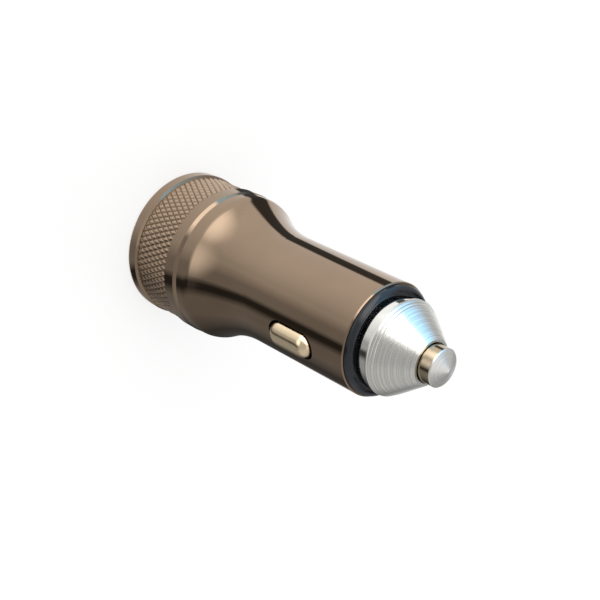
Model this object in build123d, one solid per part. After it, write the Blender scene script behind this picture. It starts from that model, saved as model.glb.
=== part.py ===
from build123d import *
import os
from math import atan, cos, sin, sqrt

# Car charger with two USB sockets, standing on its head with the nose up.
# Millimetres. The head's rim lies in the plane z = 0 and the plug's axis is +Z.
# The side contacts face +X and -X, and the circuit board lies in the plane y = 0.

# Turned shell, outside
SHELL_LENGTH = 54.4
RIM_RADIUS = 14.1
RIM_ROUND = 0.45
REAR_RIM_LENGTH = 2.5
KNURL_LENGTH = 8.8
KNURL_ROOT_RADIUS = 13.5
KNURL_SIDE_SLOPE = 0.25
FRONT_RIM_LENGTH = 3.2
FRONT_RIM_CHAMFER = 0.55
RIM_GROOVE_WIDTH = 0.35
RIM_GROOVE_DEPTH = 0.5
SHOULDER_RADIUS = 13.95
SHOULDER_LENGTH = 1.3
SHOULDER_ROUND = 3.0
FLARE_LENGTH = 13.1
BARREL_RADIUS = 10.35
BARREL_END_CHAMFER = 0.2

# Turned shell, inside
BARREL_WALL = 1.15
HEAD_WALL = 1.4
FACE_SEAT_STEP = 0.6
BORE_LEAD = 3.2

# Slots for the side contacts, measured from the barrel's end
SLOT_FRONT_GAP = 7.25
SLOT_LENGTH = 10.9
SLOT_WIDTH = 5.25

# Side contacts, pressed from sheet
CONTACT_SIDE_CLEARANCE = 0.325
CONTACT_END_CLEARANCE = 0.55
CONTACT_STAND = 1.4
CONTACT_SHEET = 0.5
CONTACT_CROWN_ROUND = 1.95
CONTACT_FLANGE_MARGIN = 0.725
CONTACT_FLANGE_CLEARANCE = 0.25

# Leaf springs behind the side contacts
LEAF_SHEET = 0.3
LEAF_WIDTH = 5.0
LEAF_RISE = 2.9
LEAF_FOOT_LENGTH = 1.4
LEAF_OVERREACH = 2.2
LEAF_CLEARANCE = 0.05

# Face plate
FACE_RECESS = 0.5
FACE_THICKNESS = 1.9
FACE_CLEARANCE = 0.05
FACE_WINDOW_MARGIN = 0.1
FACE_WINDOW_ROUND = 0.5
FACE_WINDOW_CHAMFER = 0.4
FACE_SKIRT_LENGTH = 3.0
FACE_SKIRT_WALL = 0.9

# Light pipe beside the sockets
PIPE_RADIUS = 0.75
PIPE_FLANGE_RADIUS = 1.1
PIPE_FLANGE_LENGTH = 0.5
PIPE_CLEARANCE = 0.05
PIPE_HEIGHT = 1.2

# USB-A sockets, one on each face of the board
USB_WIDTH = 12.5
USB_HEIGHT = 5.12
USB_SHEET = 0.3
USB_CORNER = 0.4
USB_DEPTH = 13.6
USB_LIP = 0.6
TONGUE_WIDTH = 11.1
TONGUE_THICKNESS = 1.84
TONGUE_GAP = 0.72
TONGUE_SETBACK = 0.9
TONGUE_BLOCK_LENGTH = 3.2
TONGUE_CLEARANCE = 0.05
TONGUE_EDGE = 0.35
STRIP_PLACES = (-3.5, -1.0, 1.0, 3.5)
STRIP_WIDTH = 1.0
STRIP_SHEET = 0.25
STRIP_SETBACK = 0.7
STRIP_FOOT_LENGTH = 0.9

# Circuit board
BOARD_THICKNESS = 1.6
BOARD_FACE_GAP = 1.0
BOARD_SIDE_CLEARANCE = 0.6
BOARD_HEAD_OVERREACH = 1.0
BOARD_NECK_LEAD = 0.5
BOARD_SLOT_CLEARANCE = 0.1

# Nose insulator
BEAD_INSET = 0.35
BEAD_SIDE_LENGTH = 0.55
BEAD_BEVEL = 0.65
BEAD_BEVEL_CROWN = 0.05
SPIGOT_LENGTH = 4.8
SPIGOT_CLEARANCE = 0.05
WEB_THICKNESS = 1.8
WEB_HOLE_RADIUS = 2.6

# Turned nose
NOSE_RECESS = 0.7
NOSE_SHANK_RADIUS = 6.6
NOSE_FIT_CLEARANCE = 0.05
NOSE_COLLAR_RADIUS = 8.42
NOSE_COLLAR_GAP = 0.78
NOSE_COLLAR_LENGTH = 2.24
NOSE_FLANGE_RADIUS = 8.65
NOSE_FLANGE_LENGTH = 0.3
NOSE_RINGS = 3
NOSE_RING_LENGTH = 0.487
NOSE_GROOVE_DEPTH = 0.12
NOSE_GROOVE_WIDTH = 0.2
NOSE_CONE_BASE_RADIUS = 7.75
NOSE_CONE_LENGTH = 4.63
NOSE_LIP_WIDTH = 0.76
NOSE_LIP_LENGTH = 0.4
NOSE_LIP_THICKNESS = 1.6

# Centre pin and its spring
TIP_RADIUS = 3.44
TIP_CLEARANCE = 0.2
TIP_STAND = 2.5
TIP_EDGE = 0.2
TIP_CONE_HEIGHT = 1.45
TIP_END_RADIUS = 0.35
TIP_COLLAR_LENGTH = 1.5
TIP_COLLAR_LEDGE = 1.0
TIP_STUB_RADIUS = 2.0
TIP_STUB_LENGTH = 3.4
SPRING_WIRE_RADIUS = 0.3
SPRING_WIRE_SIDES = 8
SPRING_RADIUS = 3.0
SPRING_TURNS = 5.5
SPRING_CLEARANCE = 0.04

# Terminal between spring and board
TERMINAL_RADIUS = 4.2
TERMINAL_SHEET = 0.4
TERMINAL_LEG_WIDTH = 2.0
TERMINAL_LEG_LENGTH = 4.0

# Choke, standing on the board
CHOKE_RADIUS = 3.9
CHOKE_POST_RADIUS = 1.9
CHOKE_FLANGE_LENGTH = 0.9
CHOKE_HEIGHT = 6.2
CHOKE_TURNS = 6
CHOKE_WINDING_INSET = 0.5
CHOKE_WINDING_CLEARANCE = 0.05

# Electrolytic capacitors, lying on the board
CAN_RADIUS = 3.15
CAN_EDGE = 0.3
CAN_GROOVE_PLACE = 1.2
CAN_GROOVE_DEPTH = 0.25
OUTPUT_CAN_LENGTH = 7.5
INPUT_CAN_LENGTH = 9.0
LEAD_RADIUS = 0.25
LEAD_SPREAD = 1.25
LEAD_REACH = 1.3
PART_GAP = 0.6

# Chips and small parts: width across the plug, length along it, height off the board
CONVERTER_SIZE = (3.9, 4.9, 1.5)
CONVERTER_PITCH = 1.27
CONVERTER_PIN_ROWS = 4
CONVERTER_PIN_WIDTH = 0.42
PORT_CHIP_SIZE = (1.6, 2.9, 1.1)
PORT_CHIP_PITCH = 0.95
PORT_CHIP_PIN_ROWS = 3
PORT_CHIP_PIN_WIDTH = 0.38
PORT_CHIP_OFFSET = 4.2
CHIP_STANDOFF = 0.12
CHIP_EDGE = 0.12
PIN_REACH = 1.05
PIN_SHEET = 0.2
PIN_FOOT = 0.5
DIODE_SIZE = (4.3, 2.6, 2.2)
DIODE_TAB_LENGTH = 0.5
DIODE_TAB_WIDTH = 1.5
DIODE_TAB_HEIGHT = 0.25
FUSE_SIZE = (3.2, 1.6, 0.8)
RESISTOR_SIZE = (1.25, 2.0, 0.55)
CERAMIC_SIZE = (1.6, 3.2, 1.2)
LED_SIZE = (2.0, 1.25, 0.8)
SMALL_PART_EDGE = 0.08

# Radii and places that follow from the sizes above
bore_radius = BARREL_RADIUS - BARREL_WALL
cavity_radius = KNURL_ROOT_RADIUS - HEAD_WALL
seat_radius = cavity_radius + FACE_SEAT_STEP
seat_z = FACE_RECESS + FACE_THICKNESS
knurl_end_z = REAR_RIM_LENGTH + KNURL_LENGTH
rim_end_z = knurl_end_z + FRONT_RIM_LENGTH
flare_start_z = rim_end_z + RIM_GROOVE_WIDTH + SHOULDER_LENGTH
flare_end_z = flare_start_z + FLARE_LENGTH
slot_z = SHELL_LENGTH - SLOT_FRONT_GAP - SLOT_LENGTH / 2
contact_length = SLOT_LENGTH - 2 * CONTACT_END_CLEARANCE
contact_width = SLOT_WIDTH - 2 * CONTACT_SIDE_CLEARANCE
contact_top = BARREL_RADIUS + CONTACT_STAND
flange_half_width = contact_width / 2 + CONTACT_FLANGE_MARGIN
flange_top = sqrt(bore_radius**2 - flange_half_width**2) - CONTACT_FLANGE_CLEARANCE
flange_bottom = flange_top - CONTACT_SHEET
board_neck_half = flange_bottom - LEAF_CLEARANCE - LEAF_RISE
board_half = bore_radius - BOARD_SIDE_CLEARANCE
board_face = BOARD_THICKNESS / 2
board_front_z = seat_z + BOARD_FACE_GAP
leaf_half_span = SLOT_LENGTH / 2 + LEAF_OVERREACH
usb_centre_y = board_face + USB_SHEET + USB_HEIGHT / 2
usb_rear_z = seat_z + USB_DEPTH
skirt_radius = cavity_radius - FACE_CLEARANCE
pipe_x = USB_WIDTH / 2 + USB_SHEET + USB_LIP + PIPE_FLANGE_RADIUS + PIPE_CLEARANCE + PART_GAP
board_head_half = pipe_x + LED_SIZE[0] / 2 + BOARD_SIDE_CLEARANCE
spigot_rear_z = SHELL_LENGTH - SPIGOT_LENGTH
web_front_z = spigot_rear_z + WEB_THICKNESS
bead_radius = BARREL_RADIUS - BEAD_INSET
bead_z = SHELL_LENGTH + BEAD_SIDE_LENGTH
insulator_front_z = bead_z + BEAD_BEVEL
nose_seat_z = insulator_front_z - NOSE_RECESS
nose_flange_z = insulator_front_z + NOSE_COLLAR_LENGTH
nose_rings_z = nose_flange_z + NOSE_FLANGE_LENGTH
nose_cone_z = nose_rings_z + NOSE_RINGS * NOSE_RING_LENGTH
nose_top_z = nose_cone_z + NOSE_CONE_LENGTH
nose_mouth_z = nose_top_z + NOSE_LIP_LENGTH
nose_mouth_radius = TIP_RADIUS + TIP_CLEARANCE
nose_top_radius = nose_mouth_radius + NOSE_LIP_WIDTH
nose_bore_radius = nose_mouth_radius + TIP_COLLAR_LEDGE
collar_top_z = nose_mouth_z - NOSE_LIP_THICKNESS
collar_rear_z = collar_top_z - TIP_COLLAR_LENGTH
terminal_top_z = web_front_z + TERMINAL_SHEET
can_y = board_face + CAN_RADIUS
output_can_z = usb_rear_z + STRIP_FOOT_LENGTH + PART_GAP + LEAD_REACH
choke_z = output_can_z + OUTPUT_CAN_LENGTH + PART_GAP + CHOKE_RADIUS
input_can_z = web_front_z - TERMINAL_LEG_LENGTH - PART_GAP - LEAD_REACH


def closed_face(start, *moves):
    """Face inside an outline: a move is the next point, or a pair of points for an arc through and to."""
    edges = []
    here = start
    for move in moves + (start,):
        if isinstance(move[0], tuple):
            through, there = move
            edges.append(ThreePointArc(here, through, there))
        else:
            there = move
            edges.append(Line(here, there))
        here = there
    return make_face(edges)


def turned(start, *moves):
    """Solid turned about the plug's axis from an outline of (radius, z) points."""
    return revolve(Plane.XZ * closed_face(start, *moves), Axis.Z)


def block(width, depth, length, place):
    """Box centred across and standing on its place, with its length along the plug."""
    return Pos(*place) * Box(width, depth, length, align=(Align.CENTER, Align.CENTER, Align.MIN))


def opposite(shape):
    """The same piece turned half round the plug's axis."""
    return Rot(0, 0, 180) * shape


def shell():
    """One turned piece: rims, band for the knurl, groove, flare and slotted barrel."""
    turn = 2 * atan((SHOULDER_RADIUS - BARREL_RADIUS) / FLARE_LENGTH)
    flare_round = FLARE_LENGTH / sin(turn) - SHOULDER_ROUND
    shoulder_through = (
        SHOULDER_RADIUS - SHOULDER_ROUND * (1 - cos(turn / 2)),
        flare_start_z + SHOULDER_ROUND * sin(turn / 2),
    )
    shoulder_end = (
        SHOULDER_RADIUS - SHOULDER_ROUND * (1 - cos(turn)),
        flare_start_z + SHOULDER_ROUND * sin(turn),
    )
    flare_through = (
        BARREL_RADIUS + flare_round * (1 - cos(turn / 2)),
        flare_end_z - flare_round * sin(turn / 2),
    )
    corner = RIM_ROUND * (1 - cos(atan(1)))
    groove_radius = SHOULDER_RADIUS - RIM_GROOVE_DEPTH
    body = turned(
        (seat_radius, 0),
        (RIM_RADIUS - RIM_ROUND, 0),
        ((RIM_RADIUS - corner, corner), (RIM_RADIUS, RIM_ROUND)),
        (RIM_RADIUS, REAR_RIM_LENGTH - KNURL_SIDE_SLOPE),
        (KNURL_ROOT_RADIUS, REAR_RIM_LENGTH),
        (KNURL_ROOT_RADIUS, knurl_end_z),
        (RIM_RADIUS, knurl_end_z + KNURL_SIDE_SLOPE),
        (RIM_RADIUS, rim_end_z - FRONT_RIM_CHAMFER),
        (RIM_RADIUS - FRONT_RIM_CHAMFER, rim_end_z),
        (groove_radius, rim_end_z),
        (groove_radius, rim_end_z + RIM_GROOVE_WIDTH),
        (SHOULDER_RADIUS, rim_end_z + RIM_GROOVE_WIDTH),
        (SHOULDER_RADIUS, flare_start_z),
        (shoulder_through, shoulder_end),
        (flare_through, (BARREL_RADIUS, flare_end_z)),
        (BARREL_RADIUS, SHELL_LENGTH - BARREL_END_CHAMFER),
        (BARREL_RADIUS - BARREL_END_CHAMFER, SHELL_LENGTH),
        (bore_radius, SHELL_LENGTH),
        (bore_radius, flare_end_z - BORE_LEAD),
        (cavity_radius, flare_start_z),
        (cavity_radius, seat_z),
        (seat_radius, seat_z),
    )
    slots = extrude(side_plane(0) * SlotOverall(SLOT_LENGTH, SLOT_WIDTH), RIM_RADIUS, both=True)
    return body - slots


def side_plane(distance):
    """Plane square to +X at a distance from the axis, centred on the slot, its X along the plug."""
    return Plane(origin=(distance, 0, slot_z), x_dir=(0, 0, 1), z_dir=(1, 0, 0))


def ground_contact():
    """Pressed cap with a rounded crown, open behind, and a flange that stops it in the slot."""
    cap = crowned_slot(contact_length, contact_width, contact_top, CONTACT_CROWN_ROUND)
    hollow = crowned_slot(
        contact_length - 2 * CONTACT_SHEET,
        contact_width - 2 * CONTACT_SHEET,
        contact_top - CONTACT_SHEET,
        CONTACT_CROWN_ROUND - CONTACT_SHEET,
    )
    margin = 2 * CONTACT_FLANGE_MARGIN
    outline = SlotOverall(contact_length + margin, contact_width + margin)
    flange = extrude(side_plane(flange_bottom) * outline, CONTACT_SHEET)
    return cap + flange - hollow


def crowned_slot(length, width, top, crown_round):
    """Prism with a slot outline from the flange's back to its top, with its crown's edge rounded."""
    prism = extrude(side_plane(flange_bottom) * SlotOverall(length, width), top - flange_bottom)
    crown = prism.faces().sort_by(Axis.X)[-1]
    return fillet(crown.edges(), crown_round)


def ground_spring():
    """Bowed leaf that stands with two feet on the board's edge and bears on the contact's flange."""
    foot = board_neck_half
    sole = foot + LEAF_SHEET
    top = foot + LEAF_RISE
    rear, front = slot_z - leaf_half_span, slot_z + leaf_half_span
    rear_knee, front_knee = rear + LEAF_FOOT_LENGTH, front - LEAF_FOOT_LENGTH
    strip = closed_face(
        (foot, rear),
        (foot, rear_knee + LEAF_SHEET / 2),
        ((top - LEAF_SHEET, slot_z), (foot, front_knee - LEAF_SHEET / 2)),
        (foot, front),
        (sole, front),
        (sole, front_knee),
        ((top, slot_z), (sole, rear_knee)),
        (sole, rear),
    )
    return extrude(Plane.XZ * strip, LEAF_WIDTH / 2, both=True)


def face_plate():
    """Moulded plate with two windows, a hole for the light pipe and a skirt that guides it in the head."""
    radius = seat_radius - FACE_CLEARANCE
    plate = Pos(0, 0, FACE_RECESS) * Cylinder(
        radius, FACE_THICKNESS, align=(Align.CENTER, Align.CENTER, Align.MIN)
    )
    window = RectangleRounded(
        USB_WIDTH + 2 * FACE_WINDOW_MARGIN, USB_HEIGHT + 2 * FACE_WINDOW_MARGIN, FACE_WINDOW_ROUND
    )
    for y in (usb_centre_y, -usb_centre_y):
        plate -= extrude(Pos(0, y, FACE_RECESS) * window, FACE_THICKNESS)
    mouths = plate.faces().sort_by(Axis.Z)[0].inner_wires().edges()
    plate = chamfer(mouths, FACE_WINDOW_CHAMFER)
    plate -= Pos(pipe_x, PIPE_HEIGHT, 0) * Cylinder(PIPE_RADIUS + PIPE_CLEARANCE, 4 * FACE_THICKNESS)
    skirt = turned(
        (skirt_radius - FACE_SKIRT_WALL, seat_z),
        (skirt_radius, seat_z),
        (skirt_radius, seat_z + FACE_SKIRT_LENGTH),
        (skirt_radius - FACE_SKIRT_WALL, seat_z + FACE_SKIRT_LENGTH),
    )
    return plate + skirt


def light_pipe():
    """Clear pin with a flange behind the face plate, ending in front of the lamp."""
    rear = board_front_z - PIPE_CLEARANCE
    pin = turned(
        (0, FACE_RECESS),
        (PIPE_RADIUS, FACE_RECESS),
        (PIPE_RADIUS, seat_z),
        (PIPE_FLANGE_RADIUS, seat_z),
        (PIPE_FLANGE_RADIUS, seat_z + PIPE_FLANGE_LENGTH),
        (PIPE_RADIUS, seat_z + PIPE_FLANGE_LENGTH),
        (PIPE_RADIUS, rear),
        (0, rear),
    )
    return Pos(pipe_x, PIPE_HEIGHT, 0) * pin


def usb_shell():
    """Folded sheet of one socket, open at the mouth, with a turned-out lip behind the face plate."""
    corner = USB_CORNER + USB_SHEET
    sheet = 2 * USB_SHEET
    lip = sheet + 2 * USB_LIP
    at_mouth = Pos(0, usb_centre_y, seat_z)
    tube = extrude(at_mouth * RectangleRounded(USB_WIDTH + sheet, USB_HEIGHT + sheet, corner), USB_DEPTH)
    lip_outline = RectangleRounded(USB_WIDTH + lip, USB_HEIGHT + lip, corner + USB_LIP)
    tube += extrude(at_mouth * lip_outline, USB_SHEET)
    return tube - extrude(at_mouth * RectangleRounded(USB_WIDTH, USB_HEIGHT, USB_CORNER), USB_DEPTH)


def usb_tongue():
    """Moulded tongue of one socket on a block that closes the shell's rear, grooved for the strips."""
    fit = 2 * TONGUE_CLEARANCE
    block_z = usb_rear_z - TONGUE_BLOCK_LENGTH
    outline = RectangleRounded(USB_WIDTH - fit, USB_HEIGHT - fit, USB_CORNER)
    rear = extrude(Pos(0, usb_centre_y, block_z) * outline, TONGUE_BLOCK_LENGTH)
    front_z = seat_z + TONGUE_SETBACK
    centre = strip_top() + TONGUE_THICKNESS / 2
    tongue = block(TONGUE_WIDTH, TONGUE_THICKNESS, block_z - front_z, (0, centre, front_z))
    tip_edges = tongue.faces().sort_by(Axis.Z)[0].edges()
    return chamfer(tip_edges, TONGUE_EDGE) + rear - usb_contacts()


def strip_top():
    """Height of the tongue's inner face, where the strips lie."""
    return usb_centre_y + USB_HEIGHT / 2 - TONGUE_GAP - TONGUE_THICKNESS


def usb_contacts():
    """Four strips under the tongue that turn down behind the socket to feet on the board."""
    top = strip_top()
    front = seat_z + TONGUE_SETBACK + STRIP_SETBACK
    heel = usb_rear_z + STRIP_SHEET
    foot = usb_rear_z + STRIP_FOOT_LENGTH
    strip = closed_face(
        (top, front),
        (top, heel),
        (board_face + STRIP_SHEET, heel),
        (board_face + STRIP_SHEET, foot),
        (board_face, foot),
        (board_face, usb_rear_z),
        (top - STRIP_SHEET, usb_rear_z),
        (top - STRIP_SHEET, front),
    )
    one = extrude(Plane.YZ * strip, STRIP_WIDTH / 2, both=True)
    return Compound([Pos(x, 0, 0) * one for x in STRIP_PLACES])


def circuit_board():
    """Stepped board: wide in the head, barrel width behind the slots, and a neck between the leaf springs."""
    head_end = usb_rear_z - BOARD_HEAD_OVERREACH
    neck_start = slot_z - leaf_half_span - BOARD_NECK_LEAD
    steps = (
        (board_head_half, board_front_z, head_end),
        (board_half, head_end, neck_start),
        (board_neck_half, neck_start, web_front_z),
    )
    return Part() + [
        block(2 * half, BOARD_THICKNESS, end - start, (0, 0, start)) for half, start, end in steps
    ]


def nose_insulator():
    """Bush between barrel and nose: a bevelled bead outside, a spigot in the bore and a slotted web."""
    spigot_radius = bore_radius - SPIGOT_CLEARANCE
    shank_bore = NOSE_SHANK_RADIUS + NOSE_FIT_CLEARANCE
    recess_radius = NOSE_COLLAR_RADIUS + NOSE_COLLAR_GAP
    bevel_crown = BEAD_BEVEL / 2 - BEAD_BEVEL_CROWN
    bush = turned(
        (WEB_HOLE_RADIUS, spigot_rear_z),
        (spigot_radius, spigot_rear_z),
        (spigot_radius, SHELL_LENGTH),
        (bead_radius, SHELL_LENGTH),
        (bead_radius, bead_z),
        (
            (bead_radius - bevel_crown, insulator_front_z - bevel_crown),
            (bead_radius - BEAD_BEVEL, insulator_front_z),
        ),
        (recess_radius, insulator_front_z),
        (recess_radius, nose_seat_z),
        (shank_bore, nose_seat_z),
        (shank_bore, web_front_z),
        (WEB_HOLE_RADIUS, web_front_z),
    )
    gap = 2 * BOARD_SLOT_CLEARANCE
    return bush - block(
        2 * board_neck_half + gap, BOARD_THICKNESS + gap, WEB_THICKNESS, (0, 0, spigot_rear_z)
    )


def nose_cone():
    """Turned nose: shank in the insulator, collar, ringed flange, cone and a lip that holds the pin in."""
    taper = (NOSE_FLANGE_RADIUS - NOSE_CONE_BASE_RADIUS) / (NOSE_RINGS * NOSE_RING_LENGTH)
    rings = []
    for ring in range(NOSE_RINGS):
        start = ring * NOSE_RING_LENGTH
        middle = start + NOSE_GROOVE_WIDTH / 2
        end = start + NOSE_GROOVE_WIDTH
        rings.append((NOSE_FLANGE_RADIUS - taper * start, nose_rings_z + start))
        rings.append((NOSE_FLANGE_RADIUS - taper * middle - NOSE_GROOVE_DEPTH, nose_rings_z + middle))
        rings.append((NOSE_FLANGE_RADIUS - taper * end, nose_rings_z + end))
    return turned(
        (nose_bore_radius, terminal_top_z),
        (NOSE_SHANK_RADIUS, terminal_top_z),
        (NOSE_SHANK_RADIUS, nose_seat_z),
        (NOSE_COLLAR_RADIUS, nose_seat_z),
        (NOSE_COLLAR_RADIUS, nose_flange_z),
        (NOSE_FLANGE_RADIUS, nose_flange_z),
        *rings,
        (NOSE_CONE_BASE_RADIUS, nose_cone_z),
        (nose_top_radius, nose_top_z),
        (nose_mouth_radius + NOSE_LIP_LENGTH, nose_mouth_z),
        (nose_mouth_radius, nose_mouth_z),
        (nose_mouth_radius, collar_top_z),
        (nose_bore_radius, collar_top_z),
    )


def tip_contact():
    """Centre pin: conical end, collar behind the nose's lip and a stub that guides the spring."""
    collar_radius = nose_bore_radius - TIP_CLEARANCE
    shoulder_z = nose_mouth_z + TIP_STAND
    return turned(
        (0, collar_rear_z - TIP_STUB_LENGTH),
        (TIP_STUB_RADIUS, collar_rear_z - TIP_STUB_LENGTH),
        (TIP_STUB_RADIUS, collar_rear_z),
        (collar_radius, collar_rear_z),
        (collar_radius, collar_top_z),
        (TIP_RADIUS, collar_top_z),
        (TIP_RADIUS, shoulder_z - TIP_EDGE),
        (TIP_RADIUS - TIP_EDGE, shoulder_z),
        (TIP_END_RADIUS, shoulder_z + TIP_CONE_HEIGHT),
        (0, shoulder_z + TIP_CONE_HEIGHT),
    )


def tip_spring():
    """Coil spring from the terminal to the pin's collar, its wire drawn with a few flat sides."""
    seat = terminal_top_z + SPRING_WIRE_RADIUS + SPRING_CLEARANCE
    height = collar_rear_z - SPRING_WIRE_RADIUS - SPRING_CLEARANCE - seat
    coil = Helix(height / SPRING_TURNS, height, SPRING_RADIUS, center=(0, 0, seat))
    wire = Plane(origin=coil @ 0, z_dir=coil % 0) * RegularPolygon(SPRING_WIRE_RADIUS, SPRING_WIRE_SIDES)
    return sweep(wire, path=coil, is_frenet=True)


def tip_terminal():
    """Plate that takes the spring, with two legs that straddle the board's end."""
    plate = Pos(0, 0, web_front_z) * Cylinder(
        TERMINAL_RADIUS, TERMINAL_SHEET, align=(Align.CENTER, Align.CENTER, Align.MIN)
    )
    leg_z = web_front_z - TERMINAL_LEG_LENGTH
    for side in (1, -1):
        place = (0, side * (board_face + TERMINAL_SHEET / 2), leg_z)
        plate += block(TERMINAL_LEG_WIDTH, TERMINAL_SHEET, TERMINAL_LEG_LENGTH, place)
    return plate


def standing(solid):
    """A solid turned about its own Z, set upright on the board's +Y face at the choke's place."""
    return Pos(0, board_face, choke_z) * Rot(-90, 0, 0) * solid


def choke_core():
    """Drum core: a post between two flanges."""
    top = CHOKE_HEIGHT - CHOKE_FLANGE_LENGTH
    drum = turned(
        (0, 0),
        (CHOKE_RADIUS, 0),
        (CHOKE_RADIUS, CHOKE_FLANGE_LENGTH),
        (CHOKE_POST_RADIUS, CHOKE_FLANGE_LENGTH),
        (CHOKE_POST_RADIUS, top),
        (CHOKE_RADIUS, top),
        (CHOKE_RADIUS, CHOKE_HEIGHT),
        (0, CHOKE_HEIGHT),
    )
    return standing(drum)


def choke_winding():
    """Turns of wire between the drum's flanges, each turn a ridge on the outside."""
    inner = CHOKE_POST_RADIUS + CHOKE_WINDING_CLEARANCE
    bottom = CHOKE_FLANGE_LENGTH + CHOKE_WINDING_CLEARANCE
    pitch = (CHOKE_HEIGHT - 2 * bottom) / CHOKE_TURNS
    crest = CHOKE_RADIUS - CHOKE_WINDING_INSET
    root = crest - pitch / 4
    ridges = []
    for turn in range(CHOKE_TURNS):
        ridges.append((crest, bottom + (turn + 0.5) * pitch))
        ridges.append((root, bottom + (turn + 1) * pitch))
    return standing(turned((inner, bottom), (root, bottom), *ridges, (inner, CHOKE_HEIGHT - bottom)))


def can(length):
    """Capacitor can with a rolled groove near its leads, from its lead end at z = 0 towards -Z."""
    groove = CAN_RADIUS - CAN_GROOVE_DEPTH
    return turned(
        (0, 0),
        (CAN_RADIUS - CAN_EDGE, 0),
        (CAN_RADIUS, -CAN_EDGE),
        (CAN_RADIUS, CAN_GROOVE_DEPTH - CAN_GROOVE_PLACE),
        (groove, -CAN_GROOVE_PLACE),
        (CAN_RADIUS, -CAN_GROOVE_DEPTH - CAN_GROOVE_PLACE),
        (CAN_RADIUS, CAN_EDGE - length),
        (CAN_RADIUS - CAN_EDGE, -length),
        (0, -length),
    )


def leads():
    """Two wires that leave a can's end along +Z and turn down to the board."""
    route = Polyline((0, 0, 0), (0, 0, LEAD_REACH), (0, -CAN_RADIUS, LEAD_REACH))
    wire = sweep(Plane.XY * Circle(LEAD_RADIUS), path=route, transition=Transition.RIGHT)
    return [Pos(x, 0, 0) * wire for x in (LEAD_SPREAD, -LEAD_SPREAD)]


def input_can_place():
    """The input can lies with its leads towards the nose."""
    return Pos(0, can_y, input_can_z)


def output_can_place():
    """The output can lies with its leads towards the sockets."""
    return Pos(0, can_y, output_can_z) * Rot(0, 180, 0)


def capacitor_leads():
    """The wires of both cans."""
    places = (input_can_place(), output_can_place())
    return Compound([place * wire for place in places for wire in leads()])


def on_board(size, x, z, side, lift=0.0):
    """A small rectangular part on one face of the board, its long edges broken."""
    width, length, height = size
    body = block(width, height, length, (x, side * (board_face + lift + height / 2), z - length / 2))
    return chamfer(body.edges().filter_by(Axis.Z), SMALL_PART_EDGE)


def chip(size, x, z):
    """Moulded chip body on the board's -Y face, held off it by its pins."""
    width, length, height = size
    place = (x, -board_face - CHIP_STANDOFF - height / 2, z - length / 2)
    return chamfer(block(width, height, length, place).edges(), CHIP_EDGE)


def chip_pins(size, x, z, pitch, rows, pin_width):
    """Bent pins along both sides of a chip, from mid height down to the board's -Y face."""
    width, length, height = size
    near = width / 2
    far = near + PIN_REACH
    middle = -board_face - CHIP_STANDOFF - height / 2
    bend = far - PIN_FOOT
    pin = closed_face(
        (near, middle),
        (bend, middle),
        (bend, -board_face - PIN_SHEET),
        (far, -board_face - PIN_SHEET),
        (far, -board_face),
        (bend - PIN_SHEET, -board_face),
        (bend - PIN_SHEET, middle + PIN_SHEET),
        (near, middle + PIN_SHEET),
    )
    one = extrude(pin, pin_width / 2, both=True)
    places = [z + (row - (rows - 1) / 2) * pitch for row in range(rows)]
    right = [Pos(x, 0, place) * one for place in places]
    left = [Pos(x, 0, place) * mirror(one, Plane.YZ) for place in places]
    return right + left


def port_chip_places():
    """The two small chips stand side by side behind the sockets."""
    z = output_can_z + PORT_CHIP_SIZE[1] / 2
    return [(x, z) for x in (PORT_CHIP_OFFSET, -PORT_CHIP_OFFSET)]


def catch_diode():
    """Moulded diode across the board's -Y face, with a flat tab at each end."""
    width, length, height = DIODE_SIZE
    z = choke_z + CHOKE_RADIUS + PART_GAP + length / 2
    body = block(width, height, length, (0, -board_face - height / 2, z - length / 2))
    body = chamfer(body.faces().sort_by(Axis.Y)[0].edges(), 2 * CHIP_EDGE)
    for side in (1, -1):
        x = side * (width + DIODE_TAB_LENGTH) / 2
        place = (x, -board_face - DIODE_TAB_HEIGHT / 2, z - DIODE_TAB_WIDTH / 2)
        body += block(DIODE_TAB_LENGTH, DIODE_TAB_HEIGHT, DIODE_TAB_WIDTH, place)
    return body


def board_fuse():
    """Flat fuse across the board's -Y face, near the nose."""
    width, length, height = FUSE_SIZE
    return on_board(FUSE_SIZE, 0, web_front_z - TERMINAL_LEG_LENGTH - PART_GAP - length / 2, -1)


def chip_resistors():
    """Two rows of resistors on the board's -Y face, beside the converter."""
    columns = (-6.0, 6.0)
    rows = (choke_z - 2.5, choke_z + 0.5)
    return Compound([on_board(RESISTOR_SIZE, x, z, -1) for x in columns for z in rows])


def chip_capacitors():
    """Ceramic capacitors on the board's +Y face, beside the choke and the output can."""
    rows = (output_can_z + CERAMIC_SIZE[1] / 2, output_can_z + OUTPUT_CAN_LENGTH - CERAMIC_SIZE[1] / 2)
    columns = (-6.0, 6.0)
    return Compound([on_board(CERAMIC_SIZE, x, z, 1) for x in columns for z in rows])


def power_led():
    """Lamp on the board's +Y face behind the light pipe."""
    z = board_front_z + PIPE_CLEARANCE + LED_SIZE[1] / 2
    return on_board(LED_SIZE, pipe_x, z, 1)


def converter_chip_pins():
    """The converter's eight pins."""
    return Compound(
        chip_pins(CONVERTER_SIZE, 0, choke_z, CONVERTER_PITCH, CONVERTER_PIN_ROWS, CONVERTER_PIN_WIDTH)
    )


def port_chip_pins():
    """The pins of both port chips."""
    pins = []
    for x, z in port_chip_places():
        pins += chip_pins(PORT_CHIP_SIZE, x, z, PORT_CHIP_PITCH, PORT_CHIP_PIN_ROWS, PORT_CHIP_PIN_WIDTH)
    return Compound(pins)


right_contact = ground_contact()
right_spring = ground_spring()
upper_shell = usb_shell()
upper_tongue = usb_tongue()
upper_contacts = usb_contacts()

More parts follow.
